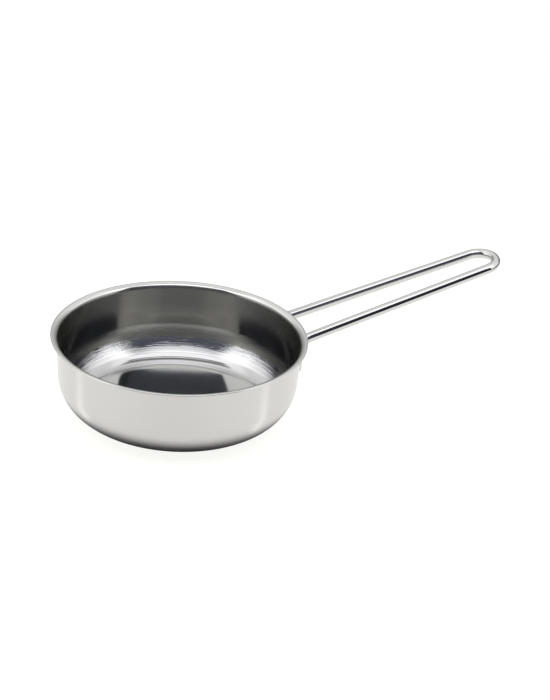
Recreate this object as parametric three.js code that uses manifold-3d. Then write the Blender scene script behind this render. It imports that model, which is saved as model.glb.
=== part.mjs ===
// A small, shallow steel saucepan. Its bowl is drawn from one sheet, with a flat base, a gently dished floor
// around it, a large rounded corner, a nearly upright wall and a flared pouring lip. Its handle is one
// length of round wire, bent into a long loop. The wire's two ends turn down against the wall, and two spot
// welds hold each.
// Millimetres, with +Z up. The origin is the centre of the base, and the handle points along +X.

import * as THREE from 'three';
import { mergeVertices } from 'three/addons/utils/BufferGeometryUtils.js';
import Module from 'manifold-3d';

const { degToRad } = THREE.MathUtils;

// Driving dimensions of the bowl
const RIM_DIAMETER = 124.4; // across the edge of the lip
const BOWL_HEIGHT = 41.9; // from the base to the top of the lip
const SHEET_THICKNESS = 0.8;
const LIP_RADIUS = 2.9; // upper face of the flare
const BRIM_WIDTH = 0.5; // level part of the lip, outside the flare
const WALL_DRAFT = degToRad(3.45); // how far the wall leans out
const CORNER_RADIUS = 20; // outer face, between the floor and the wall
const FLOOR_RADIUS = 110; // outer face, between the flat base and the corner
const FLOOR_LEAN = degToRad(11.7); // slope at which the floor meets the corner

// Driving dimensions of the handle, measured on the wire's centre line.
// The elbow is the point where a leg's line and its tail's line would cross.
const WIRE_DIAMETER = 5;
const HANDLE_RISE = degToRad(8.7);
const ELBOW_DROP = 9.2; // below the top of the lip
const ELBOW_RADIUS = 6.5;
const LEG_SPACING_AT_WALL = 24.5;
const LEG_SPACING_AT_LOOP = 18;
const LEG_LENGTH = 112.8; // from the elbow to the start of the end loop
const TAIL_LENGTH = 15.7; // from the elbow to the wire's end

// Driving dimensions of the welds
const WELD_DIAMETER = 3.6;
const WELD_FROM_WIRE_END = 2.6; // to the lower weld's centre
const WELD_PITCH = 4.4; // from the lower weld to the upper one
const WELD_SEAT = 0.8; // space between the wire and the wall
const WELD_CLEARANCE = 0.25; // between the weld metal and what it holds

// Fineness of the round shapes
const BOWL_SEGMENTS = 72;
const FLOOR_STEPS = 3;
const CORNER_STEPS = 9;
const LIP_STEPS = 6;
const EDGE_STEPS = 4;
const WIRE_SIDES = 20;
const TAIL_STEPS = 2;
const ELBOW_STEPS = 8;
const LEG_STEPS = 4;
const LOOP_STEPS = 18;
const WELD_SIDES = 20;

// The bowl's section, in radius and height
const edgeRadius = SHEET_THICKNESS / 2;
const edgeCentre = new THREE.Vector2(RIM_DIAMETER / 2 - edgeRadius, BOWL_HEIGHT - edgeRadius);
const lipCentre = new THREE.Vector2(edgeCentre.x - BRIM_WIDTH, BOWL_HEIGHT - LIP_RADIUS);
const lipUnderside = LIP_RADIUS - SHEET_THICKNESS;
const wallTop = new THREE.Vector2(
  lipCentre.x - lipUnderside * Math.cos(WALL_DRAFT),
  lipCentre.y + lipUnderside * Math.sin(WALL_DRAFT),
);

// Outer radius of the straight wall at a height
function wallRadius(height) {
  return wallTop.x - (wallTop.y - height) * Math.tan(WALL_DRAFT);
}

const cornerHeight = FLOOR_RADIUS - (FLOOR_RADIUS - CORNER_RADIUS) * Math.cos(FLOOR_LEAN);
const cornerCentre = new THREE.Vector2(
  wallRadius(cornerHeight) - CORNER_RADIUS / Math.cos(WALL_DRAFT),
  cornerHeight,
);
const floorCentre = new THREE.Vector2(
  cornerCentre.x - (FLOOR_RADIUS - CORNER_RADIUS) * Math.sin(FLOOR_LEAN),
  FLOOR_RADIUS,
);

function arcPoints(centre, radius, from, to, steps) {
  const points = [];
  for (let i = 0; i <= steps; i += 1) {
    const angle = THREE.MathUtils.lerp(from, to, i / steps);
    points.push(new THREE.Vector2(centre.x + radius * Math.cos(angle), centre.y + radius * Math.sin(angle)));
  }
  return points;
}

// The floor's and the corner's arcs, from the base up to the wall, on a face offset outside the outer one
function lowerPoints(offset) {
  const down = -Math.PI / 2;
  const meeting = down + FLOOR_LEAN;
  return [
    ...arcPoints(floorCentre, FLOOR_RADIUS + offset, down, meeting, FLOOR_STEPS),
    ...arcPoints(cornerCentre, CORNER_RADIUS + offset, meeting, -WALL_DRAFT, CORNER_STEPS).slice(1),
  ];
}

// A solid turned about the Z axis from a section that starts and ends on the axis
function turned(section) {
  return new THREE.LatheGeometry(section, BOWL_SEGMENTS).rotateX(Math.PI / 2);
}

function bowlGeometry() {
  const edge = arcPoints(edgeCentre, edgeRadius, -Math.PI / 2, Math.PI / 2, EDGE_STEPS);
  return turned([
    new THREE.Vector2(0, 0),
    ...lowerPoints(0),
    ...arcPoints(lipCentre, lipUnderside, Math.PI - WALL_DRAFT, Math.PI / 2, LIP_STEPS),
    ...edge,
    ...arcPoints(lipCentre, LIP_RADIUS, Math.PI / 2, Math.PI - WALL_DRAFT, LIP_STEPS),
    ...lowerPoints(-SHEET_THICKNESS).reverse(),
    new THREE.Vector2(0, SHEET_THICKNESS),
  ]);
}

// All that lies inside the bowl's outer face, grown by a clearance, from the base to the wall's top
function bowlEnvelope(clearance) {
  return turned([
    new THREE.Vector2(0, -clearance),
    ...lowerPoints(clearance),
    new THREE.Vector2(wallTop.x + clearance / Math.cos(WALL_DRAFT), wallTop.y),
    new THREE.Vector2(0, wallTop.y),
  ]);
}

// The wire's centre line on the right-hand side, +Y
const elbowHeight = BOWL_HEIGHT - ELBOW_DROP;
const elbowReach = wallRadius(elbowHeight) + (WELD_SEAT + WIRE_DIAMETER / 2) / Math.cos(WALL_DRAFT);
const tailAzimuth = Math.asin(LEG_SPACING_AT_WALL / 2 / elbowReach);
const outwards = new THREE.Vector3(Math.cos(tailAzimuth), Math.sin(tailAzimuth), 0);
const elbow = outwards.clone().multiplyScalar(elbowReach).setZ(elbowHeight);

// A tail runs up beside the wall, with the wall's own lean
const tailUp = outwards.clone().multiplyScalar(Math.sin(WALL_DRAFT)).setZ(Math.cos(WALL_DRAFT));
const wireEnd = elbow.clone().addScaledVector(tailUp, -TAIL_LENGTH);

// A leg rises outwards and closes in on the other leg
const legClosing = Math.asin((LEG_SPACING_AT_WALL - LEG_SPACING_AT_LOOP) / 2 / LEG_LENGTH);
const handleAxis = new THREE.Vector3(Math.cos(HANDLE_RISE), 0, Math.sin(HANDLE_RISE));
const legAlong = handleAxis.clone().multiplyScalar(Math.cos(legClosing)).setY(-Math.sin(legClosing));
const legEnd = elbow.clone().addScaledVector(legAlong, LEG_LENGTH);

// A straight or curved piece of the path: at(0) is its start and at(1) its end
function straightPiece(start, end, steps) {
  return { at: (share) => start.clone().lerp(end, share), steps };
}

// An arc that leaves a start point along one direction and turns towards another, square to it
function arcPiece(start, along, towards, radius, sweep, steps) {
  const at = (share) => start.clone()
    .addScaledVector(along, radius * Math.sin(sweep * share))
    .addScaledVector(towards, radius * (1 - Math.cos(sweep * share)));
  return { at, steps };
}

// The same piece on the left-hand side, run the other way
function mirroredPiece(piece) {
  const at = (share) => {
    const point = piece.at(1 - share);
    return point.setY(-point.y);
  };
  return { at, steps: piece.steps };
}

// A path made of pieces, with its rings at each piece's own steps
class WirePath extends THREE.Curve {
  constructor(pieces) {
    super();
    this.pieces = pieces;
    this.steps = pieces.reduce((sum, piece) => sum + piece.steps, 0);
  }

  getPoint(share, target = new THREE.Vector3()) {
    let step = share * this.steps;
    for (const piece of this.pieces) {
      if (step <= piece.steps) {
        return target.copy(piece.at(step / piece.steps));
      }
      step -= piece.steps;
    }
    return target.copy(this.pieces.at(-1).at(1));
  }

  getUtoTmapping(share) {
    return share;
  }
}

function handlePath() {
  const elbowTurn = tailUp.angleTo(legAlong);
  const elbowSetback = ELBOW_RADIUS * Math.tan(elbowTurn / 2);
  const elbowStart = elbow.clone().addScaledVector(tailUp, -elbowSetback);
  const elbowEnd = elbow.clone().addScaledVector(legAlong, elbowSetback);
  const elbowInwards = legAlong.clone().addScaledVector(tailUp, -legAlong.dot(tailUp)).normalize();
  const loopInwards = handleAxis.clone().multiplyScalar(-Math.sin(legClosing)).setY(-Math.cos(legClosing));
  const loopRadius = LEG_SPACING_AT_LOOP / 2 / Math.cos(legClosing);

  const tail = straightPiece(wireEnd, elbowStart, TAIL_STEPS);
  const bend = arcPiece(elbowStart, tailUp, elbowInwards, ELBOW_RADIUS, elbowTurn, ELBOW_STEPS);
  const leg = straightPiece(elbowEnd, legEnd, LEG_STEPS);
  const loop = arcPiece(legEnd, legAlong, loopInwards, loopRadius, Math.PI - 2 * legClosing, LOOP_STEPS);
  return new WirePath([tail, bend, leg, loop, ...[leg, bend, tail].map(mirroredPiece)]);
}

// Round wire of a given radius along the handle's path
function wireGeometry(radius) {
  const section = new THREE.Shape();
  section.absarc(0, 0, radius, 0, 2 * Math.PI);
  const extrudePath = handlePath();
  return new THREE.ExtrudeGeometry(section, {
    steps: extrudePath.steps,
    extrudePath,
    curveSegments: WIRE_SIDES / 2,
    bevelEnabled: false,
  });
}

// Solids for the cuts
const wasm = await Module();
wasm.setup();

function toSolid(geometry) {
  const bare = geometry.clone();
  bare.deleteAttribute('normal');
  bare.deleteAttribute('uv');
  const merged = mergeVertices(bare);
  return new wasm.Manifold(new wasm.Mesh({
    numProp: 3,
    vertProperties: new Float32Array(merged.attributes.position.array),
    triVerts: new Uint32Array(merged.index.array),
  }));
}

function toGeometry(solid) {
  const { vertProperties, triVerts } = solid.getMesh();
  const geometry = new THREE.BufferGeometry();
  geometry.setAttribute('position', new THREE.BufferAttribute(vertProperties, 3));
  geometry.setIndex(new THREE.BufferAttribute(triVerts, 1));
  geometry.computeVertexNormals();
  return geometry;
}

const weldCutters = [
  toSolid(bowlEnvelope(WELD_CLEARANCE)),
  toSolid(wireGeometry(WIRE_DIAMETER / 2 + WELD_CLEARANCE)),
];

// Weld metal between the wall and a tail, at a distance up from the wire's end; side is +1 or -1 along Y.
// Its blank runs from the bowl's axis to the wire's centre line, and is cut back to a clear seat on both.
function weldGeometry(side, fromWireEnd) {
  const centre = wireEnd.clone().addScaledVector(tailUp, fromWireEnd);
  const reach = Math.hypot(centre.x, centre.y);
  const blank = new THREE.CylinderGeometry(WELD_DIAMETER / 2, WELD_DIAMETER / 2, reach, WELD_SIDES);
  blank.rotateZ(-Math.PI / 2);
  blank.translate(reach / 2, 0, centre.z);
  blank.rotateZ(side * tailAzimuth);
  return toGeometry(weldCutters.reduce((solid, cutter) => solid.subtract(cutter), toSolid(blank)));
}

// Finishes
const satinSteel = { color: 0xc6c4c1, metalness: 1, roughness: 0.34 };
const polishedSteel = { color: 0xd9d9d8, metalness: 1, roughness: 0.08 };
const weldSteel = { color: 0x9d9a96, metalness: 1, roughness: 0.5 };

function piece(name, geometry, finish) {
  const mesh = new THREE.Mesh(geometry, new THREE.MeshStandardMaterial(finish));
  mesh.name = name;
  return mesh;
}

const handle = new THREE.Group();
handle.add(piece('handle_wire', wireGeometry(WIRE_DIAMETER / 2), polishedSteel));
for (const [sideName, side] of [['left', -1], ['right', 1]]) {
  handle.add(
    piece(`weld_${sideName}_lower`, weldGeometry(side, WELD_FROM_WIRE_END), weldSteel),
    piece(`weld_${sideName}_upper`, weldGeometry(side, WELD_FROM_WIRE_END + WELD_PITCH), weldSteel),
  );
}

const saucepan = new THREE.Group();
saucepan.add(piece('pan_body', bowlGeometry(), satinSteel), handle);

export default saucepan;
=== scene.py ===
# A small, shallow steel saucepan with a looped wire handle, made around its CAD model.
# Metres, with +Z up. The origin is the centre of the base, and the handle points along +X.
import math
from collections import namedtuple

import bmesh
import bpy
from mathutils import Matrix, Vector


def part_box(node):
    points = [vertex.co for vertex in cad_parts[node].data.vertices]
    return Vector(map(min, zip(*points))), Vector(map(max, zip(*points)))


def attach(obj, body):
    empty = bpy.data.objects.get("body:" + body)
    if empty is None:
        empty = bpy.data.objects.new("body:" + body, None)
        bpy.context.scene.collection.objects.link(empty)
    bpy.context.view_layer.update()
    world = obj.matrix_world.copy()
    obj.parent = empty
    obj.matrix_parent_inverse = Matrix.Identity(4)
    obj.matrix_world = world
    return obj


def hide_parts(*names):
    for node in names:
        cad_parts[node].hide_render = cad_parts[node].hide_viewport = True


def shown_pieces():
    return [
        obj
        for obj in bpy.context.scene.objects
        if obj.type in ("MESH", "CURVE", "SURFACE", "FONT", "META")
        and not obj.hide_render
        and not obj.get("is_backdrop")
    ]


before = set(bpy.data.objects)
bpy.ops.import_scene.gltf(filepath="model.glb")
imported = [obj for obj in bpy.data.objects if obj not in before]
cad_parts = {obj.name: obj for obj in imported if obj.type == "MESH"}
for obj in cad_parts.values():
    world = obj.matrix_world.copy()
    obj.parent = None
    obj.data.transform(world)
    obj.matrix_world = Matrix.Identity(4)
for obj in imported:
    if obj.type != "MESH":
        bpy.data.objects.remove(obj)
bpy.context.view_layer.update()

# Sizes of the bowl: its rim and height come from the frame, the rest are its driving dimensions
RIM_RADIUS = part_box("pan_body")[1].x
BOWL_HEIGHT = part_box("pan_body")[1].z
SHEET = 0.0008
LIP_RADIUS = 0.0029
BRIM_WIDTH = 0.0005
WALL_DRAFT = math.radians(3.45)
CORNER_RADIUS = 0.020
FLOOR_RADIUS = 0.110
FLOOR_LEAN = math.radians(11.7)

# Where the bowl's finish, and the painted light and shade in its colour, change: at an angle on the lip, and
# at four slopes on the inside of the corner
LIP_FINISH_END = math.radians(145)
TURNED_FIRST_SLOPE = math.radians(22)
RINGED_FIRST_SLOPE = math.radians(40)
RINGED_LAST_SLOPE = math.radians(50.6)
TURNED_LAST_SLOPE = math.radians(66)

# Turning rings: shallow ripples on the inside, between two lengths along the section
RING_PITCH = 0.00105
RING_HEIGHT = 0.000007
RING_FIRST = 0.0285
RING_LAST = 0.0375
RING_FADE = 0.0015
# The rings wander: each wander is (radians, waves around the bowl, radians per metre along the section)
RING_WANDERS = ((0.25, 3, 900), (0.2, 7, 0), (1.1, 0, 2600))
# The rings vary in depth, by a wave along the section that sways around the bowl
RING_BEAT = 0.3
RING_BEAT_RATE = 1700
RING_BEAT_SWAY = 2
RING_BEAT_WAVES = 2

# Sizes of the handle, on the wire's centre line. Its skin is a little thin, to stay inside the CAD box.
WIRE_RADIUS = 0.0025
WIRE_SKIN_RADIUS = 0.00247
WIRE_END_ROUNDING = 0.0005
HANDLE_RISE = math.radians(8.7)
ELBOW_DROP = 0.0092
ELBOW_RADIUS = 0.0065
LEG_SPACING_AT_WALL = 0.0245
LEG_SPACING_AT_LOOP = 0.018
LEG_LENGTH = 0.1128
TAIL_LENGTH = 0.0157

# Sizes of the welds, and the shares that shape their waist and their ends
WELD_SEAT = 0.0008
WELD_HEIGHT = 0.0036
WELD_FROM_WIRE_END = 0.0026
WELD_PITCH = 0.0044
WELD_HALF_WIDTH = 0.0023
WELD_WRAP = math.radians(52)
WELD_SINK = 0.00015
WELD_WAIST_OUT = 0.35
WELD_WAIST_WIDTH = 0.8
WELD_END_SHARE = 0.05

# Fineness of the meshes: segments around the bowl and the wire, then steps along each stretch
BOWL_SEGMENTS = 224
WIRE_SIDES = 48
OUTER_FOOT_STEPS = 8
OUTER_FLOOR_STEPS = 16
OUTER_CORNER_STEPS = 40
LIP_STEPS = 14
LIP_FOOT_STEPS = 10
EDGE_STEPS = 10
INNER_FOOT_STEPS = 20
INNER_FLOOR_STEPS = 60
TURNED_STEPS = 60
CORNER_ZONE_STEPS = 40
WALL_STEPS = 12
WIRE_END_STEPS = 6
TAIL_STEPS = 6
ELBOW_STEPS = 28
LEG_STEPS = 40
LOOP_STEPS = 72
WELD_LEVELS = 16
WELD_FLANK_STEPS = 10
WELD_SEAT_STEPS = 6

# The camera, as fitted to the photograph
IMAGE_WIDTH = 550
IMAGE_HEIGHT = 700
FOCAL_PIXELS = 2800
ORIGIN_PIXEL = (176.07, 412.60)
CAMERA_DISTANCE = 1.36853
CAMERA_ELEVATION = math.radians(26.584)
CAMERA_ROLL = math.radians(3.575)
CAMERA_AZIMUTH = math.radians(31.518)
SENSOR = 36

# The bowl's zones, as material slots
OUTSIDE, LIP, INNER_WALL, CHATTERED, RINGED, INNER_CORNER, INNER_FLOOR = range(7)

Point = namedtuple("Point", "radius height zone slope along", defaults=(None, None))


def spread(first, last, steps):
    return [first + (last - first) * i / steps for i in range(steps + 1)]


def turns(count):
    """Equal angles once around, from 0"""
    return spread(0, 2 * math.pi, count)[:-1]


# Node helpers: add() makes a node, and links or sets each input that is named
def add(tree, kind, inputs=None, **settings):
    node = tree.nodes.new(kind)
    for name, value in settings.items():
        setattr(node, name, value)
    for name, value in (inputs or {}).items():
        if isinstance(value, bpy.types.NodeSocket):
            tree.links.new(value, node.inputs[name])
        else:
            node.inputs[name].default_value = value
    return node


def calc(tree, operation, *values):
    return add(tree, "ShaderNodeMath", dict(enumerate(values)), operation=operation).outputs[0]


def ease(tree, value, low, high, out_low=0.0, out_high=1.0):
    inputs = {"Value": value, "From Min": low, "From Max": high, "To Min": out_low, "To Max": out_high}
    return add(tree, "ShaderNodeMapRange", inputs, interpolation_type="SMOOTHSTEP").outputs["Result"]


def mix(tree, share, first, second):
    inputs = {"Factor": share, "A": first, "B": second}
    return add(tree, "ShaderNodeMix", inputs, data_type="FLOAT").outputs["Result"]


# The brightness that white stands for in a ramp
RAMP_TOP = 2.0


def curve(tree, value, points):
    """A ramp of brightness through (position, brightness) points"""
    ramp = add(tree, "ShaderNodeValToRGB", {"Fac": value})
    stops = ramp.color_ramp.elements
    while len(stops) < len(points):
        stops.new(0.5)
    for stop, (position, level) in zip(stops, points):
        stop.position = position
        shade = level / RAMP_TOP
        stop.color = (shade, shade, shade, 1)
    grey = add(tree, "ShaderNodeSeparateColor", {"Color": ramp.outputs["Color"]}).outputs["Red"]
    return calc(tree, "MULTIPLY", grey, RAMP_TOP)


def tint(tree, value, colour, low, high, first=0.0, last=1.0):
    """A colour whose brightness goes from low to high times its own as the value goes from first to last"""
    ramp = add(tree, "ShaderNodeValToRGB", {"Fac": value})
    for stop, position, level in zip(ramp.color_ramp.elements, (first, last), (low, high)):
        stop.position = position
        stop.color = tuple(min(1, part * level) for part in colour) + (1,)
    return ramp.outputs["Color"]


def new_material(name):
    material = bpy.data.materials.new(name)
    material.use_nodes = True
    material.node_tree.nodes.clear()
    return material, material.node_tree


def stage_piece(name, mesh, material):
    mesh.materials.append(material)
    piece = bpy.data.objects.new(name, mesh)
    bpy.context.scene.collection.objects.link(piece)
    piece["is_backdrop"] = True
    return piece


# The studio: a pale light tent around the pan, with a dark opening at its front.
# Its axes are the world's, turned about Z: x to the right in the photograph, y away into it, z up.
# A place in the tent is given by its direction from the pan: by the z of that direction, which is called
# its height here, or by the x and y of the same direction made level.
# Levels are brightness, and 1 is white. A span is two places that a change runs between.
STUDIO_TURN = CAMERA_AZIMUTH
TENT_RADIUS = 30
TENT_SEGMENTS = 64
TENT_RINGS = 32
# Just over 1, so that a direction straight up still has a level length
LEVEL_LIMIT = 1.0001
# The walls, as (height, level), and the span in x from the back wall to the side walls
BACK_LEVELS = (
    (0.0, 0.25), (0.15, 0.3), (0.3, 0.52), (0.42, 0.62), (0.5, 0.9),
    (0.6, 1.05), (0.75, 1.0), (0.9, 0.95), (0.95, 1.25), (1.0, 1.45),
)
SIDE_LEVELS = ((0.0, 0.4), (0.1, 0.65), (0.3, 1.1), (0.5, 1.2), (0.76, 1.25), (0.81, 1.6), (1.0, 1.6))
SIDE_SPAN = (0.6, 0.97)
SIDE_FRONT_GAIN = 1.3
SIDE_FRONT_SPAN = (0.15, -0.15)
# A light seam across the side walls, which rises towards the front
SEAM_HEIGHT = 0.34
SEAM_RISE = 0.406
SEAM_HALF_WIDTH = 0.025
SEAM_LEVEL = 0.45
# The roof at the front
ROOF_LEVEL = 1.8
ROOF_FRONT_SPAN = (0.1, -0.4)
ROOF_HEIGHT_SPAN = (0.5, 0.75)
# The dark opening's right and left edges, as angles clockwise from the back wall, and its top
OPENING_RIGHT = math.radians(114.5)
OPENING_LEFT = math.radians(234)
OPENING_TOP = math.sin(math.radians(55.3))
OPENING_EDGE = 0.012
# The opening widens at the top right and narrows at the top left, and its top rises to the right
OPENING_RIGHT_GAIN = 0.05
OPENING_RIGHT_GAIN_SPAN = (0.66, 0.76)
OPENING_LEFT_LOSS = 0.05
OPENING_LEFT_LOSS_SPAN = (0.5, 0.78)
OPENING_RISE = 0.03
OPENING_RISE_SPAN = (0.5, 0.9)
# The dark in the opening and below the ground, which is lighter in the middle of the front
DARK_LEVEL = 0.035
DARK_MIDDLE_LEVEL = 0.12
DARK_MIDDLE_SPAN = (-0.5, -0.62)
DARK_TINT = (0.9, 0.95, 1.2)
GROUND_SPAN = (0.0, -0.03)
# A grey bar between the roof panels: its height, its bowed line y = a + b x + c x x, and its width
BAR_HEIGHT = 0.3
BAR_HALF_LENGTH = 0.115
BAR_LINE = (0.055, 0.1, 3.6)
BAR_HALF_WIDTH = 0.025
BAR_END_GAIN = 0.4
BAR_LEVEL = 0.32
BAR_STEPS = 24


def studio_axes(tree, vector):
    """The x, y and z of a vector in the studio's axes"""
    inputs = {"Vector": vector, "Angle": STUDIO_TURN}
    turned = add(tree, "ShaderNodeVectorRotate", inputs, rotation_type="Z_AXIS").outputs["Vector"]
    return add(tree, "ShaderNodeSeparateXYZ", {"Vector": turned}).outputs


def tent_walls(tree, level_x, level_y, z):
    """The brightness of the back wall, the side walls with their seam, and the roof"""
    side_share = ease(tree, calc(tree, "ABSOLUTE", level_x), *SIDE_SPAN)
    gain = ease(tree, level_y, *SIDE_FRONT_SPAN, 1.0, SIDE_FRONT_GAIN)
    sides = calc(tree, "MULTIPLY", curve(tree, z, SIDE_LEVELS), gain)
    sides = calc(tree, "MINIMUM", sides, ROOF_LEVEL)
    walls = mix(tree, side_share, curve(tree, z, BACK_LEVELS), sides)
    forward = calc(tree, "MAXIMUM", calc(tree, "MULTIPLY", level_y, -1.0), 0.0)
    seam_height = calc(tree, "MULTIPLY_ADD", calc(tree, "SQRT", forward), SEAM_RISE, SEAM_HEIGHT)
    from_seam = calc(tree, "ABSOLUTE", calc(tree, "SUBTRACT", z, seam_height))
    seam = ease(tree, from_seam, SEAM_HALF_WIDTH, 0.0, 0.0, SEAM_LEVEL)
    walls = calc(tree, "MULTIPLY_ADD", seam, side_share, walls)
    roof_front = ease(tree, level_y, *ROOF_FRONT_SPAN)
    roof_share = calc(tree, "MULTIPLY", roof_front, ease(tree, z, *ROOF_HEIGHT_SPAN))
    return mix(tree, roof_share, walls, ROOF_LEVEL)


def clockwise_past(tree, level_x, level_y, edge):
    """The sine of the angle by which a level direction lies clockwise past an edge"""
    x_part = calc(tree, "MULTIPLY", level_x, math.cos(edge))
    y_part = calc(tree, "MULTIPLY", level_y, math.sin(edge))
    return calc(tree, "SUBTRACT", x_part, y_part)


def tent_dark(tree, level_x, level_y, z):
    """1 in the opening and below the ground, and 0 on the walls"""
    past_right = clockwise_past(tree, level_x, level_y, OPENING_RIGHT)
    right_gain = ease(tree, z, *OPENING_RIGHT_GAIN_SPAN, 0.0, OPENING_RIGHT_GAIN)
    past_right = calc(tree, "ADD", past_right, right_gain)
    past_left = clockwise_past(tree, level_x, level_y, OPENING_LEFT)
    left_loss = ease(tree, z, *OPENING_LEFT_LOSS_SPAN, 0.0, OPENING_LEFT_LOSS)
    before_left = calc(tree, "SUBTRACT", calc(tree, "MULTIPLY", past_left, -1.0), left_loss)
    top = ease(tree, level_x, *OPENING_RISE_SPAN, OPENING_TOP, OPENING_TOP + OPENING_RISE)
    under_top = calc(tree, "SUBTRACT", top, z)
    opening = ease(tree, under_top, -OPENING_EDGE, OPENING_EDGE)
    for inside in (past_right, before_left):
        opening = calc(tree, "MULTIPLY", opening, ease(tree, inside, -OPENING_EDGE, OPENING_EDGE))
    return calc(tree, "MAXIMUM", opening, ease(tree, z, *GROUND_SPAN))


def tent_material():
    material, tree = new_material("tent_light")
    place = add(tree, "ShaderNodeTexCoord").outputs["Object"]
    direction = add(tree, "ShaderNodeVectorMath", {0: place}, operation="NORMALIZE").outputs["Vector"]
    x, y, z = studio_axes(tree, direction)
    level_square = calc(tree, "SUBTRACT", LEVEL_LIMIT, calc(tree, "MULTIPLY", z, z))
    level_length = calc(tree, "SQRT", level_square)
    level_x = calc(tree, "DIVIDE", x, level_length)
    level_y = calc(tree, "DIVIDE", y, level_length)
    walls = tent_walls(tree, level_x, level_y, z)
    dark = tent_dark(tree, level_x, level_y, z)
    darkness = ease(tree, level_y, *DARK_MIDDLE_SPAN, DARK_LEVEL, DARK_MIDDLE_LEVEL)
    studio = mix(tree, dark, walls, darkness)
    red, green, blue = [mix(tree, dark, 1.0, part) for part in DARK_TINT]
    colour = add(tree, "ShaderNodeCombineColor", {"Red": red, "Green": green, "Blue": blue}).outputs["Color"]
    light = add(tree, "ShaderNodeEmission", {"Color": colour, "Strength": studio})
    add(tree, "ShaderNodeOutputMaterial", {"Surface": light.outputs["Emission"]})
    material.cycles.emission_sampling = "NONE"
    return material


def build_tent():
    shape = bmesh.new()
    bmesh.ops.create_uvsphere(shape, u_segments=TENT_SEGMENTS, v_segments=TENT_RINGS, radius=TENT_RADIUS)
    mesh = bpy.data.meshes.new("light_tent")
    shape.to_mesh(mesh)
    shape.free()
    tent = stage_piece("light_tent", mesh, tent_material())
    tent.visible_camera = False


def build_roof_bar():
    material, tree = new_material("bar_dark")
    light = add(tree, "ShaderNodeEmission", {"Strength": BAR_LEVEL})
    add(tree, "ShaderNodeOutputMaterial", {"Surface": light.outputs["Emission"]})
    material.cycles.emission_sampling = "NONE"
    to_world = Matrix.Rotation(-STUDIO_TURN, 4, "Z")
    corners = []
    faces = []
    for x in spread(-BAR_HALF_LENGTH, BAR_HALF_LENGTH, BAR_STEPS):
        y = BAR_LINE[0] + BAR_LINE[1] * x + BAR_LINE[2] * x * x
        half_width = BAR_HALF_WIDTH * (1 + BAR_END_GAIN * (x / BAR_HALF_LENGTH) ** 2)
        corners.append(to_world @ Vector((x, y - half_width, BAR_HEIGHT)))
        corners.append(to_world @ Vector((x, y + half_width, BAR_HEIGHT)))
        if len(corners) > 2:
            last = len(corners) - 1
            faces.append((last - 3, last - 2, last, last - 1))
    mesh = bpy.data.meshes.new("roof_bar")
    mesh.from_pydata(corners, [], faces)
    bar = stage_piece("roof_bar", mesh, material)
    bar.visible_camera = False


def build_world():
    """A plain white world, the background of every view"""
    world = bpy.data.worlds.new("white")
    bpy.context.scene.world = world
    world.use_nodes = True
    tree = world.node_tree
    tree.nodes.clear()
    background = add(tree, "ShaderNodeBackground", {"Color": (1, 1, 1, 1), "Strength": 1.0})
    add(tree, "ShaderNodeOutputWorld", {"Surface": background.outputs["Background"]})


# The table: white paper. Where it is seen, by the camera or in the steel, it is shaded paper that glows
# outside the pan's footprint, so that the pan's shadow stays faint there.
TABLE_RADIUS = 0.4
TABLE_SIDES = 96
TABLE_COLOUR = (0.88, 0.88, 0.875, 1)
TABLE_SHADED_COLOUR = (0.25, 0.25, 0.25, 1)
TABLE_GLOW = 0.8
TABLE_GLOW_COLOUR = (1, 0.995, 0.965, 1)
TABLE_CAMERA_GLOW = 0.1
# The radii that the glow grows between, and how much further in it reaches to the camera
GLOW_SPAN = (0.050, 0.066)
GLOW_UNDER_PAN = 0.026
# In the steel the table has painted light: lighter sides, and two soft painted streaks of light.
# A streak is (start, direction) in the studio's x and y.
SIDE_GLOW = 0.06
SIDE_GLOW_SPAN = (0.01, 0.07)
STREAKS = (((-0.046, -0.0354), (-0.967, 0.255)), ((0.0432, -0.0387), (0.9937, 0.1115)))
STREAK_HALF_WIDTH = 0.007
STREAK_FADE_IN = 0.01
STREAK_LEVEL = 0.36


def painted_light_streak(tree, x, y, start, along):
    """The brightness of a painted streak of light, which fades to both sides and towards its start"""
    from_x = calc(tree, "SUBTRACT", x, start[0])
    from_y = calc(tree, "SUBTRACT", y, start[1])
    across = calc(tree, "MULTIPLY", from_x, along[1])
    across = calc(tree, "SUBTRACT", across, calc(tree, "MULTIPLY", from_y, along[0]))
    ahead = calc(tree, "MULTIPLY", from_x, along[0])
    ahead = calc(tree, "ADD", ahead, calc(tree, "MULTIPLY", from_y, along[1]))
    streak = ease(tree, calc(tree, "ABSOLUTE", across), STREAK_HALF_WIDTH, 0.0, 0.0, STREAK_LEVEL)
    return calc(tree, "MULTIPLY", streak, ease(tree, ahead, 0.0, STREAK_FADE_IN))


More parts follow.
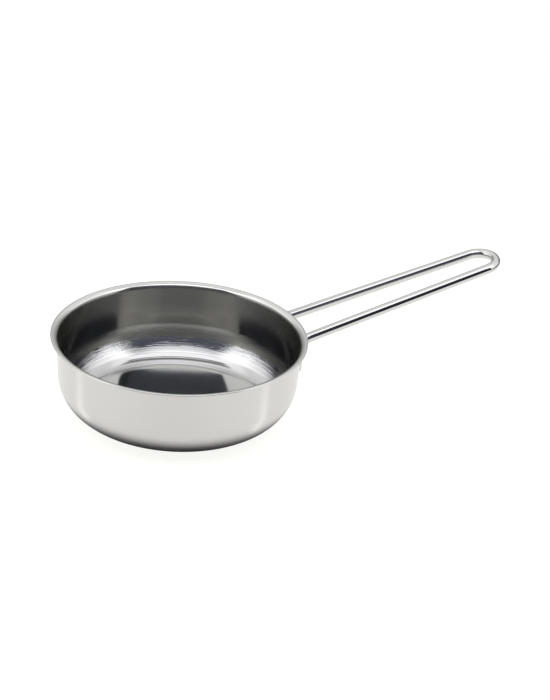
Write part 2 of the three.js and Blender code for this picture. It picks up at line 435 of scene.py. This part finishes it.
def table_material():
    material, tree = new_material("table_white")
    place = add(tree, "ShaderNodeTexCoord").outputs["Object"]
    x, y, _ = studio_axes(tree, place)
    radius = add(tree, "ShaderNodeVectorMath", {0: place}, operation="LENGTH").outputs["Value"]
    path = add(tree, "ShaderNodeLightPath").outputs
    mirrored = calc(tree, "MAXIMUM", path["Is Glossy Ray"], path["Is Transmission Ray"])
    seen = calc(tree, "MAXIMUM", path["Is Camera Ray"], mirrored)
    reach = calc(tree, "MULTIPLY_ADD", path["Is Camera Ray"], GLOW_UNDER_PAN, radius)
    glow = ease(tree, reach, *GLOW_SPAN, 0.0, TABLE_GLOW)
    # Painted light in the steel: the table lighter at its sides, and two painted streaks of light
    painted_side_glow = ease(tree, calc(tree, "ABSOLUTE", x), *SIDE_GLOW_SPAN, 0.0, SIDE_GLOW)
    glow = calc(tree, "MULTIPLY_ADD", painted_side_glow, mirrored, glow)
    glow = calc(tree, "MULTIPLY_ADD", path["Is Camera Ray"], TABLE_CAMERA_GLOW, glow)
    for start, along in STREAKS:
        glow = calc(tree, "MULTIPLY_ADD", painted_light_streak(tree, x, y, start, along), mirrored, glow)
    plain = add(tree, "ShaderNodeBsdfDiffuse", {"Color": TABLE_COLOUR})
    shaded = add(tree, "ShaderNodeBsdfDiffuse", {"Color": TABLE_SHADED_COLOUR})
    light = add(tree, "ShaderNodeEmission", {"Color": TABLE_GLOW_COLOUR, "Strength": glow})
    pale = add(tree, "ShaderNodeAddShader", {0: shaded.outputs[0], 1: light.outputs[0]})
    either = add(tree, "ShaderNodeMixShader", {0: seen, 1: plain.outputs[0], 2: pale.outputs[0]})
    add(tree, "ShaderNodeOutputMaterial", {"Surface": either.outputs[0]})
    material.cycles.emission_sampling = "NONE"
    return material


def build_table():
    corners = []
    for angle in turns(TABLE_SIDES):
        corners.append((TABLE_RADIUS * math.cos(angle), TABLE_RADIUS * math.sin(angle), 0))
    mesh = bpy.data.meshes.new("table")
    mesh.from_pydata(corners, [], [range(TABLE_SIDES)])
    stage_piece("table", mesh, table_material())


def build_camera():
    fall, rise = math.sin(CAMERA_ELEVATION), math.cos(CAMERA_ELEVATION)
    ahead = Vector((0, rise, -fall))
    level = Vector((1, 0, 0))
    upright = Vector((0, fall, rise))
    right = level * math.cos(CAMERA_ROLL) + upright * math.sin(CAMERA_ROLL)
    up = upright * math.cos(CAMERA_ROLL) - level * math.sin(CAMERA_ROLL)
    offset_right = (ORIGIN_PIXEL[0] - IMAGE_WIDTH / 2) / FOCAL_PIXELS * CAMERA_DISTANCE
    offset_down = (ORIGIN_PIXEL[1] - IMAGE_HEIGHT / 2) / FOCAL_PIXELS * CAMERA_DISTANCE
    place = -(right * offset_right - up * offset_down + ahead * CAMERA_DISTANCE)
    turn = Matrix((right, up, -ahead)).transposed().to_4x4()
    data = bpy.data.cameras.new("camera")
    data.sensor_width = SENSOR
    data.lens = FOCAL_PIXELS / IMAGE_HEIGHT * SENSOR
    camera = bpy.data.objects.new("camera", data)
    camera.matrix_world = Matrix.Rotation(-CAMERA_AZIMUTH, 4, "Z") @ Matrix.Translation(place) @ turn
    bpy.context.scene.collection.objects.link(camera)
    bpy.context.scene.camera = camera


# Brushed steel: a noise is drawn out into lines, by its scales around the bowl's axis and along its section.
# The tint runs over the middle of the noise, and the brushing lies a quarter turn from the tangent.
STREAKS_AROUND = 3
LINES_ALONG = 1500
LINE_DETAIL = 3.0
LINE_ROUGHNESS = 0.6
LINE_TINT_SPAN = (0.25, 0.75)
BRUSHED_TURN = 0.25

# Polished metal: faint smudges, as the part of a noise that they span and their shares of roughness and tint
SMUDGE_SCALE = 220.0
SMUDGE_DETAIL = 4.0
SMUDGE_SPAN = (0.35, 0.75)
SMUDGE_ROUGHNESS = (0.8, 1.5)
SMUDGE_TINT = (0.96, 1.03)


def brushed_lines(tree, x, y, z):
    """A noise of fine lines around Z"""
    flat = add(tree, "ShaderNodeCombineXYZ", {"X": x, "Y": y}).outputs["Vector"]
    radius = add(tree, "ShaderNodeVectorMath", {0: flat}, operation="LENGTH").outputs["Value"]
    around = add(tree, "ShaderNodeVectorMath", {0: flat}, operation="NORMALIZE").outputs["Vector"]
    around = add(tree, "ShaderNodeVectorMath", {0: around, "Scale": STREAKS_AROUND}, operation="SCALE")
    turn_x, turn_y, _ = add(tree, "ShaderNodeSeparateXYZ", {"Vector": around.outputs["Vector"]}).outputs
    along = calc(tree, "MULTIPLY", calc(tree, "ADD", radius, z), LINES_ALONG)
    streaks = add(tree, "ShaderNodeCombineXYZ", {"X": turn_x, "Y": turn_y, "Z": along}).outputs["Vector"]
    inputs = {"Vector": streaks, "Scale": 1.0, "Detail": LINE_DETAIL, "Roughness": LINE_ROUGHNESS}
    return add(tree, "ShaderNodeTexNoise", inputs).outputs["Fac"]


def steel(name, colour, roughness, anisotropy, grain, bump=0.0, ringed=False, polish=None, frost=None):
    """Metal that is brushed around Z. grain is the spread of its tint, which follows the fine lines or,
    on ringed metal, the turning rings. bump is the depth of the fine lines.
    polish is two heights, from smoother to full roughness, and the smoother share.
    frost is two heights, between which the roughness goes over to a last value, and that value."""
    material, tree = new_material(name)
    place = add(tree, "ShaderNodeTexCoord").outputs["Object"]
    x, y, z = add(tree, "ShaderNodeSeparateXYZ", {"Vector": place}).outputs
    lines = brushed_lines(tree, x, y, z)
    shade = lines
    if ringed:
        # The rings' marks go from -1 to 1
        ring = add(tree, "ShaderNodeAttribute", attribute_name="ring").outputs["Fac"]
        shade = calc(tree, "MULTIPLY_ADD", ring, 0.5, 0.5)
    inputs = {
        "Base Color": tint(tree, shade, colour, 1 - grain, 1 + grain, *LINE_TINT_SPAN),
        "Metallic": 1.0,
        "Roughness": roughness,
        "Anisotropic": anisotropy,
        "Anisotropic Rotation": BRUSHED_TURN,
        "Tangent": add(tree, "ShaderNodeTangent", direction_type="RADIAL", axis="Z").outputs["Tangent"],
    }
    if polish:
        smooth_height, rough_height, share = polish
        inputs["Roughness"] = ease(tree, z, smooth_height, rough_height, roughness * share, roughness)
    if frost:
        first_height, last_height, last = frost
        inputs["Roughness"] = ease(tree, z, first_height, last_height, inputs["Roughness"], last)
    if bump:
        relief = add(tree, "ShaderNodeBump", {"Height": lines, "Strength": 1.0, "Distance": bump})
        inputs["Normal"] = relief.outputs["Normal"]
    surface = add(tree, "ShaderNodeBsdfPrincipled", inputs)
    add(tree, "ShaderNodeOutputMaterial", {"Surface": surface.outputs["BSDF"]})
    return material


def polished(name, colour, roughness):
    """Plain metal with faint smudges"""
    material, tree = new_material(name)
    place = add(tree, "ShaderNodeTexCoord").outputs["Object"]
    inputs = {"Vector": place, "Scale": SMUDGE_SCALE, "Detail": SMUDGE_DETAIL}
    smudge = add(tree, "ShaderNodeTexNoise", inputs).outputs["Fac"]
    smooth, rough = [roughness * share for share in SMUDGE_ROUGHNESS]
    surface = add(tree, "ShaderNodeBsdfPrincipled", {
        "Base Color": tint(tree, smudge, colour, *SMUDGE_TINT),
        "Metallic": 1.0,
        "Roughness": ease(tree, smudge, *SMUDGE_SPAN, smooth, rough),
    })
    add(tree, "ShaderNodeOutputMaterial", {"Surface": surface.outputs["BSDF"]})
    return material


def bowl_finishes():
    """The bowl's materials, in the order of its zones"""
    return (
        steel(
            "satin_outside", (0.617, 0.612, 0.6), roughness=0.22, anisotropy=0.9, grain=0.006,
            polish=(0.002, 0.016, 0.4),
        ),
        steel("polished_lip", (0.65, 0.65, 0.64), roughness=0.1, anisotropy=0.3, grain=0.01),
        # A dark copy of the same steel: its darker colour is painted shade inside the bowl
        steel(
            "inner_wall_painted_shade", (0.325, 0.321, 0.301), roughness=0.276, anisotropy=0.93, grain=0.02,
            polish=(0.0215, 0.016, 0.27), frost=(0.0235, 0.033, 0.25),
        ),
        steel(
            "chattered_corner", (0.6, 0.602, 0.617), roughness=0.08, anisotropy=0.3, grain=0.01,
            bump=0.00012,
        ),
        # A lighter copy of the same steel: its lighter colour is painted light on the rings
        steel(
            "turned_rings_painted_light", (0.74, 0.74, 0.745), roughness=0.285, anisotropy=0.85, grain=0.14,
            ringed=True,
        ),
        # A darker copy of the same steel: its darker colour is painted shade on the corner
        steel("turned_corner_painted_shade", (0.5, 0.5, 0.505), roughness=0.1, anisotropy=0.4, grain=0.01),
        # A lighter, bluish copy of the same steel: its colour is painted light on the floor
        steel("turned_floor_painted_light", (0.82, 0.83, 0.85), roughness=0.09, anisotropy=0.4, grain=0.01),
    )


# Piece helpers
def band(lower, upper):
    """The faces between two closed rings of vertices. Where a ring is a single point they are triangles."""
    faces = []
    for i in range(len(lower)):
        j = (i + 1) % len(lower)
        corners = (lower[i], lower[j], upper[j], upper[i])
        faces.append(tuple(dict.fromkeys(corners)))
    return faces


def make_piece(name, vertices, faces):
    mesh = bpy.data.meshes.new(name)
    mesh.from_pydata(vertices, [], faces)
    mesh.shade_smooth()
    piece = bpy.data.objects.new(name, mesh)
    bpy.context.scene.collection.objects.link(piece)
    return piece


def finish_piece(piece, slot, *nodes):
    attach(piece, "root")
    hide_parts(*nodes)


# The bowl's section
edge_radius = SHEET / 2
edge_centre = (RIM_RADIUS - edge_radius, BOWL_HEIGHT - edge_radius)
lip_centre = (edge_centre[0] - BRIM_WIDTH, BOWL_HEIGHT - LIP_RADIUS)
lip_underside = LIP_RADIUS - SHEET
wall_top = (
    lip_centre[0] - lip_underside * math.cos(WALL_DRAFT),
    lip_centre[1] + lip_underside * math.sin(WALL_DRAFT),
)


def wall_radius(height):
    return wall_top[0] - (wall_top[1] - height) * math.tan(WALL_DRAFT)


corner_height = FLOOR_RADIUS - (FLOOR_RADIUS - CORNER_RADIUS) * math.cos(FLOOR_LEAN)
corner_centre = (wall_radius(corner_height) - CORNER_RADIUS / math.cos(WALL_DRAFT), corner_height)
floor_centre = (corner_centre[0] - (FLOOR_RADIUS - CORNER_RADIUS) * math.sin(FLOOR_LEAN), FLOOR_RADIUS)


def arc(centre, radius, first, last, steps, zone):
    points = []
    for angle in spread(first, last, steps):
        point = (centre[0] + radius * math.cos(angle), centre[1] + radius * math.sin(angle))
        points.append(Point(*point, zone))
    return points


def rising(centre, radius, first, last, steps, zone, along):
    """An arc that rises outwards from slope first to slope last, with its length counted from along"""
    points = []
    for slope in spread(first, last, steps):
        point = (centre[0] + radius * math.sin(slope), centre[1] - radius * math.cos(slope))
        points.append(Point(*point, zone, slope, along + radius * (slope - first)))
    return points


def bowl_section():
    """Points from the middle of the base, up the outside, over the lip and down the inside to the floor"""
    upright = math.pi / 2 - WALL_DRAFT
    inner_floor = FLOOR_RADIUS - SHEET
    inner_corner = CORNER_RADIUS - SHEET
    outer = [Point(r, 0, OUTSIDE) for r in spread(0, floor_centre[0], OUTER_FOOT_STEPS)]
    outer += rising(floor_centre, FLOOR_RADIUS, 0, FLOOR_LEAN, OUTER_FLOOR_STEPS, OUTSIDE, 0)[1:]
    outer += rising(corner_centre, CORNER_RADIUS, FLOOR_LEAN, upright, OUTER_CORNER_STEPS, OUTSIDE, 0)[1:]
    outer += arc(lip_centre, lip_underside, math.pi - WALL_DRAFT, math.pi / 2, LIP_STEPS, OUTSIDE)
    edge = arc(edge_centre, edge_radius, -math.pi / 2, math.pi / 2, EDGE_STEPS, LIP)
    lip = arc(lip_centre, LIP_RADIUS, math.pi / 2, LIP_FINISH_END, LIP_STEPS, LIP)[:-1]
    lip += arc(lip_centre, LIP_RADIUS, LIP_FINISH_END, math.pi - WALL_DRAFT, LIP_FOOT_STEPS, INNER_WALL)
    inner = [Point(r, SHEET, INNER_FLOOR, 0, 0) for r in spread(0, floor_centre[0], INNER_FOOT_STEPS)]
    inner += rising(floor_centre, inner_floor, 0, FLOOR_LEAN, INNER_FLOOR_STEPS, INNER_FLOOR, 0)[1:]
    along = inner_floor * FLOOR_LEAN
    slope = FLOOR_LEAN
    for last, steps, zone in (
        (TURNED_FIRST_SLOPE, CORNER_ZONE_STEPS, INNER_FLOOR),
        (RINGED_FIRST_SLOPE, TURNED_STEPS, INNER_CORNER),
        (RINGED_LAST_SLOPE, CORNER_ZONE_STEPS, RINGED),
        (TURNED_LAST_SLOPE, CORNER_ZONE_STEPS, CHATTERED),
        (upright, CORNER_ZONE_STEPS, INNER_WALL),
    ):
        inner += rising(corner_centre, inner_corner, slope, last, steps, zone, along)[1:]
        along += inner_corner * (last - slope)
        slope = last
    wall_foot = inner[-1]
    wall_head = lip[-1]
    for share in spread(1, 0, WALL_STEPS)[1:-1]:
        radius = wall_foot.radius + (wall_head.radius - wall_foot.radius) * share
        height = wall_foot.height + (wall_head.height - wall_foot.height) * share
        lip.append(Point(radius, height, INNER_WALL))
    return outer + edge + lip + inner[::-1]


def ring_wave(along, angle):
    """The turning rings' wave, from -1 to 1, at a length along the section and an angle around"""
    rise = min(1, max(0, (along - RING_FIRST) / RING_FADE))
    fall = min(1, max(0, (RING_LAST - along) / RING_FADE))
    drift = sum(size * math.sin(waves * angle + rate * along) for size, waves, rate in RING_WANDERS)
    sway = RING_BEAT_SWAY * math.sin(RING_BEAT_WAVES * angle)
    beat = 1 - RING_BEAT + RING_BEAT * math.sin(RING_BEAT_RATE * along + sway)
    return rise * fall * beat * math.sin(2 * math.pi * along / RING_PITCH + drift)


def build_bowl():
    section = bowl_section()
    vertices = []
    ring_marks = []
    rings = []
    for point in section:
        if point.radius == 0:
            rings.append([len(vertices)] * BOWL_SEGMENTS)
            vertices.append((0, 0, point.height))
            ring_marks.append(0)
            continue
        rings.append(range(len(vertices), len(vertices) + BOWL_SEGMENTS))
        for angle in turns(BOWL_SEGMENTS):
            radius, height = point.radius, point.height
            mark = 0
            if point.along and point.zone != OUTSIDE:
                mark = ring_wave(point.along, angle)
                radius -= RING_HEIGHT * mark * math.sin(point.slope)
                height += RING_HEIGHT * mark * math.cos(point.slope)
            ring_marks.append(mark)
            vertices.append((radius * math.cos(angle), radius * math.sin(angle), height))
    faces = []
    zones = []
    for point, lower, upper in zip(section, rings, rings[1:]):
        faces += band(lower, upper)
        zones += [point.zone] * BOWL_SEGMENTS
    bowl = make_piece("pan_shell", vertices, faces)
    for face, zone in zip(bowl.data.polygons, zones):
        face.material_index = zone
    for finish in bowl_finishes():
        bowl.data.materials.append(finish)
    marks = bowl.data.attributes.new("ring", "FLOAT", "POINT")
    marks.data.foreach_set("value", ring_marks)
    finish_piece(bowl, "satin_steel", "pan_body")


# The handle's centre line, on the side of +Y
elbow_height = BOWL_HEIGHT - ELBOW_DROP
elbow_reach = wall_radius(elbow_height) + (WELD_SEAT + WIRE_RADIUS) / math.cos(WALL_DRAFT)
tail_azimuth = math.asin(LEG_SPACING_AT_WALL / 2 / elbow_reach)
outwards = Vector((math.cos(tail_azimuth), math.sin(tail_azimuth), 0))
elbow = outwards * elbow_reach + Vector((0, 0, elbow_height))
tail_up = outwards * math.sin(WALL_DRAFT) + Vector((0, 0, math.cos(WALL_DRAFT)))
wire_end = elbow - tail_up * TAIL_LENGTH
leg_closing = math.asin((LEG_SPACING_AT_WALL - LEG_SPACING_AT_LOOP) / 2 / LEG_LENGTH)
handle_axis = Vector((math.cos(HANDLE_RISE), 0, math.sin(HANDLE_RISE)))
leg_along = handle_axis * math.cos(leg_closing) - Vector((0, math.sin(leg_closing), 0))
leg_end = elbow + leg_along * LEG_LENGTH


def bend(start, along, towards, radius, sweep, steps):
    """Points and directions on an arc that leaves along one way and turns towards another"""
    points = []
    for angle in spread(0, sweep, steps):
        place = start + along * (radius * math.sin(angle)) + towards * (radius * (1 - math.cos(angle)))
        points.append((place, along * math.cos(angle) + towards * math.sin(angle)))
    return points


def straight(start, end, steps):
    along = (end - start).normalized()
    return [(start.lerp(end, share), along) for share in spread(0, 1, steps)]


def handle_path():
    """Points and directions along the wire, from the end at +Y to the end at -Y"""
    turn = tail_up.angle(leg_along)
    setback = ELBOW_RADIUS * math.tan(turn / 2)
    inwards = (leg_along - tail_up * leg_along.dot(tail_up)).normalized()
    bend_start = elbow - tail_up * setback
    bend_end = elbow + leg_along * setback
    loop_inwards = -handle_axis * math.sin(leg_closing) - Vector((0, math.cos(leg_closing), 0))
    loop_radius = LEG_SPACING_AT_LOOP / 2 / math.cos(leg_closing)
    side = straight(wire_end, bend_start, TAIL_STEPS)[:-1]
    side += bend(bend_start, tail_up, inwards, ELBOW_RADIUS, turn, ELBOW_STEPS)
    side += straight(bend_end, leg_end, LEG_STEPS)[1:-1]
    loop = bend(leg_end, leg_along, loop_inwards, loop_radius, math.pi - 2 * leg_closing, LOOP_STEPS)
    mirror = Vector((1, -1, 1))
    other = [(place * mirror, -along * mirror) for place, along in reversed(side)]
    return side + loop + other


def wire_stations():
    """The wire's places, directions and radii. At its two ends it draws in to a rounded edge."""
    path = handle_path()
    start, start_along = path[0]
    end, end_along = path[-1]
    rounding = []
    for angle in spread(0, math.pi / 2, WIRE_END_STEPS):
        inset = WIRE_END_ROUNDING * (1 - math.cos(angle))
        drawn = WIRE_SKIN_RADIUS - WIRE_END_ROUNDING * (1 - math.sin(angle))
        rounding.append((inset, drawn))
    stations = [(start + start_along * inset, start_along, drawn) for inset, drawn in rounding]
    stations += [(place, along, WIRE_SKIN_RADIUS) for place, along in path[1:-1]]
    stations += [(end - end_along * inset, end_along, drawn) for inset, drawn in rounding[::-1]]
    return stations


def build_wire():
    vertices = []
    rings = []
    side = Vector((0, 1, 0))
    for place, along, radius in wire_stations():
        side = (side - along * side.dot(along)).normalized()
        other = along.cross(side)
        rings.append(range(len(vertices), len(vertices) + WIRE_SIDES))
        for angle in turns(WIRE_SIDES):
            vertices.append(place + (side * math.cos(angle) + other * math.sin(angle)) * radius)
    faces = []
    for lower, upper in zip(rings, rings[1:]):
        faces += band(lower, upper)
    faces.append(tuple(rings[0])[::-1])
    faces.append(tuple(rings[-1]))
    wire = make_piece("wire_handle", vertices, faces)
    wire.data.materials.append(polished("polished_wire", (0.62, 0.62, 0.612), roughness=0.04))
    finish_piece(wire, "polished_steel", "handle_wire")


def weld_outline(share):
    """Half of a weld's level section, as (distance out from the wall, distance sideways), wall to wire"""
    half_width = WELD_HALF_WIDTH * share
    wrap = WELD_WRAP * share
    reach = WELD_SEAT + WIRE_RADIUS
    inside = WIRE_RADIUS - WELD_SINK
    foot = Vector((-WELD_SINK, half_width))
    seat = Vector((reach - inside * math.cos(wrap), inside * math.sin(wrap)))
    waist = Vector((WELD_SEAT * WELD_WAIST_OUT, seat.y * WELD_WAIST_WIDTH))
    points = []
    for t in spread(0, 1, WELD_FLANK_STEPS):
        points.append(foot * (1 - t) ** 2 + waist * (2 * t * (1 - t)) + seat * t ** 2)
    for angle in spread(wrap, 0, WELD_SEAT_STEPS)[1:-1]:
        points.append(Vector((reach - inside * math.cos(angle), inside * math.sin(angle))))
    return points


def build_weld(side, level, from_wire_end, material):
    """A weld between a tail and the wall, made on the side of +Y and mirrored where side is -1"""
    middle = wire_end + tail_up * from_wire_end
    sideways = Vector((-outwards.y, outwards.x, 0))
    out = tail_up.cross(sideways) * -1
    foot = middle - out * (WELD_SEAT + WIRE_RADIUS)
    vertices = []
    rings = []
    for turn in spread(-math.pi / 2, math.pi / 2, WELD_LEVELS):
        half = weld_outline(max(math.cos(turn), WELD_END_SHARE))
        outline = half + [Vector((p.x, -p.y)) for p in reversed(half)]
        rise = tail_up * (WELD_HEIGHT / 2 * math.sin(turn))
        rings.append(range(len(vertices), len(vertices) + len(outline)))
        for p in outline:
            place = foot + out * p.x + sideways * p.y + rise
            vertices.append((place.x, place.y * side, place.z))
    faces = []
    for lower, upper in zip(rings, rings[1:]):
        faces += band(lower, upper)
    faces.append(tuple(rings[0])[::-1])
    faces.append(tuple(rings[-1]))
    side_name = "right" if side > 0 else "left"
    weld = make_piece(f"weld_bead_{side_name}_{level}", vertices, faces)
    weld.data.materials.append(material)
    finish_piece(weld, "weld_steel", f"weld_{side_name}_{level}")


def build_welds():
    metal = polished("weld_metal", (0.4, 0.38, 0.36), roughness=0.35)
    for side in (-1, 1):
        build_weld(side, "lower", WELD_FROM_WIRE_END, metal)
        build_weld(side, "upper", WELD_FROM_WIRE_END + WELD_PITCH, metal)


def face_outwards(piece):
    """Turns the piece's faces so that its enclosed volume counts as positive"""
    mesh = piece.data
    volume = 0
    for face in mesh.polygons:
        first, *rest = [mesh.vertices[i].co for i in face.vertices]
        for a, b in zip(rest, rest[1:]):
            volume += first.dot(a.cross(b))
    if volume < 0:
        mesh.flip_normals()


bpy.context.scene.view_settings.view_transform = "Standard"
build_camera()
build_world()
build_tent()
build_roof_bar()
build_table()
build_bowl()
build_wire()
build_welds()
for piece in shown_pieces():
    face_outwards(piece)
